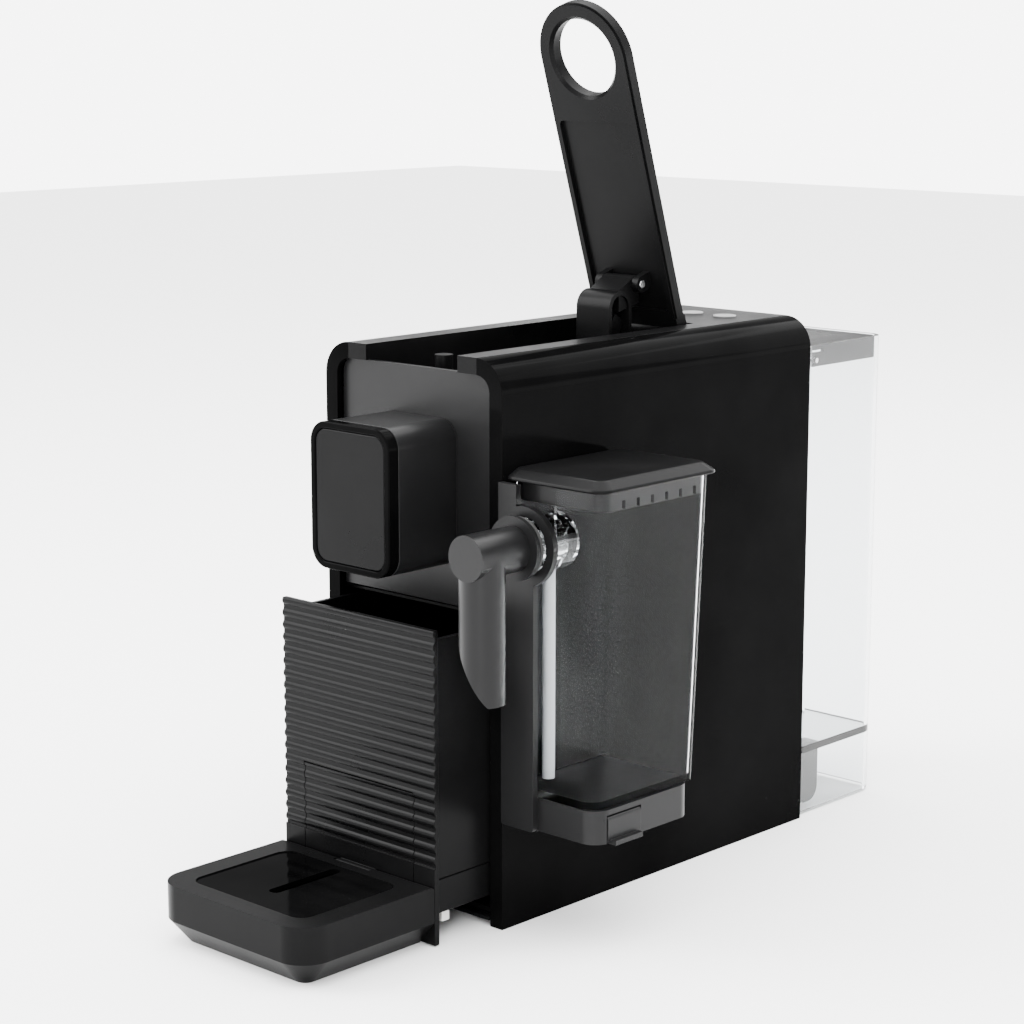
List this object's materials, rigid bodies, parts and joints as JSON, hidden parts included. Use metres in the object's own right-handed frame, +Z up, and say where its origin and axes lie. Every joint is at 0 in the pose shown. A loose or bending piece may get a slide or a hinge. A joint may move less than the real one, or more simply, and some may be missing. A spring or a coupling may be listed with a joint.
{
  "type": "pod coffee machine",
  "caption": "Narrow pod coffee machine with a top lever, pull-out pod drawer with fold-up drip tray, rear water tank and a plug-in clear milk container with a swivelling spout.",
  "frame": {"origin": "middle of the whole machine in plan, at the height of the worktop", "axes": "+X to the right as seen by the user, towards the milk unit; +Y from the front to the water tank; +Z up"},
  "size_m": [0.1792, 0.4258, 0.433],
  "materials": {
    "gloss_black": "gloss",
    "satin_grey": "satin",
    "satin_black": "satin",
    "inner_black": "matte",
    "clear": "clear gloss",
    "frosted": "frosted",
    "pale": "satin",
    "steel": "brushed",
    "aluminium": "as cast",
    "rubber": "matte",
    "seal": "matte",
    "hose": "satin",
    "board": "satin",
    "button": "satin"
  },
  "bodies": {
    "body": {"left_side_cover": "gloss_black", "right_side_cover": "gloss_black", "top_frame": "satin_black", "front_panel": "satin_grey", "head_shell": "satin_grey", "head_bezel": "gloss_black", "head_face": "satin_black", "coffee_outlet": "inner_black", "rear_panel": "satin_black", "base_plate": "satin_black", "rubber_feet": "rubber", "base_screws": "steel", "tank_dock": "inner_black", "dock_valve": "inner_black", "button_board": "board", "lever_pin": "steel", "brew_frame": "inner_black", "frame_screws": "steel", "pod_cage": "inner_black", "piercing_plate": "steel", "water_tube": "steel", "pump": "steel", "pump_mounts": "rubber", "heater_block": "aluminium", "flow_meter": "frosted", "control_board": "board", "water_hoses": "hose", "drawer_tunnel": "inner_black", "steam_port": "steel", "mains_inlet": "inner_black"},
    "lever": {"lever": "satin_black"},
    "toggle": {"toggle_arm": "satin_black", "toggle_pins": "steel"},
    "piston": {"piston": "inner_black", "piston_seal": "seal"},
    "button_left": {"button_left": "button"},
    "button_middle": {"button_middle": "button"},
    "button_right": {"button_right": "button"},
    "drawer": {"drawer_chassis": "satin_black", "pod_bin": "satin_black", "drawer_glides": "pale", "ribbed_front": "satin_black", "tray_flap": "satin_black", "tray_pin": "steel"},
    "tray": {"drip_tray": "satin_black"},
    "plate": {"drip_plate": "gloss_black"},
    "tank": {"water_tank": "clear", "lid_pins": "steel", "tank_valve": "inner_black"},
    "tank_lid": {"tank_lid": "satin_black"},
    "milk_unit": {"milk_holder": "satin_grey", "milk_container": "clear", "milk_tube": "frosted", "frother_body": "clear", "frother_rings": "rubber"},
    "release_tab": {"release_tab": "satin_grey"},
    "milk_lid": {"milk_lid": "satin_black", "milk_gasket": "frosted"},
    "spout": {"milk_spout": "satin_grey"}
  },
  "joints": [
    {"name": "lever_hinge", "type": "hinge", "parent": "body", "child": "lever", "pos_m": [-0.0308, 0.0737, 0.2676], "axis": [1, 0, 0], "range_deg": [0, 72.4]},
    {"name": "toggle_hinge", "type": "hinge", "parent": "lever", "child": "toggle", "pos_m": [-0.0308, 0.05761, 0.29187], "axis": [1, 0, 0], "range_deg": [-99.66, 0.05]},
    {"name": "piston_slide", "type": "slide", "parent": "body", "child": "piston", "axis": [0, -1, 0], "range_m": [-0.00005, 0.04619]},
    {"name": "drawer_slide", "type": "slide", "parent": "body", "child": "drawer", "axis": [0, -1, 0], "range_m": [-0.0334, 0.09]},
    {"name": "tray_fold", "type": "hinge", "parent": "drawer", "child": "tray", "pos_m": [-0.0308, -0.133, 0.0274], "axis": [-1, 0, 0], "range_deg": [0, 90]},
    {"name": "plate_lift", "type": "slide", "parent": "tray", "child": "plate", "axis": [0, 0, 1], "range_m": [0, 0.03]},
    {"name": "tank_lift", "type": "slide", "parent": "body", "child": "tank", "axis": [0, 0, 1], "range_m": [0, 0.06]},
    {"name": "tank_lid_hinge", "type": "hinge", "parent": "tank", "child": "tank_lid", "pos_m": [-0.0308, 0.1506, 0.2478], "axis": [1, 0, 0], "range_deg": [0, 75]},
    {"name": "milk_unit_slide", "type": "slide", "parent": "body", "child": "milk_unit", "axis": [1, 0, 0], "range_m": [0, 0.06]},
    {"name": "milk_lid_lift", "type": "slide", "parent": "milk_unit", "child": "milk_lid", "axis": [0, 0, 1], "range_m": [0, 0.04]},
    {"name": "release_tab_hinge", "type": "hinge", "parent": "milk_unit", "child": "release_tab", "pos_m": [0.0836, -0.0716, 0.0648], "axis": [0, -1, 0], "range_deg": [0, 8], "stiffness_Nm_per_rad": 0.3},
    {"name": "spout_swivel", "type": "hinge", "parent": "milk_unit", "child": "spout", "pos_m": [0.0447, -0.1021, 0.1887], "axis": [0, 1, 0], "range_deg": [0, 24]},
    {"name": "button_left_press", "type": "slide", "parent": "body", "child": "button_left", "axis": [0, 0, -1], "range_m": [0, 0.0012], "stiffness_N_per_m": 400},
    {"name": "button_middle_press", "type": "slide", "parent": "body", "child": "button_middle", "axis": [0, 0, -1], "range_m": [0, 0.0012], "stiffness_N_per_m": 400},
    {"name": "button_right_press", "type": "slide", "parent": "body", "child": "button_right", "axis": [0, 0, -1], "range_m": [0, 0.0012], "stiffness_N_per_m": 400}
  ],
  "couplings": [
    {"joint": "toggle_hinge", "follows": "lever_hinge", "ratio": -1.3758},
    {"joint": "piston_slide", "follows": "lever_hinge", "m_per_rad": 0.036514}
  ]
}
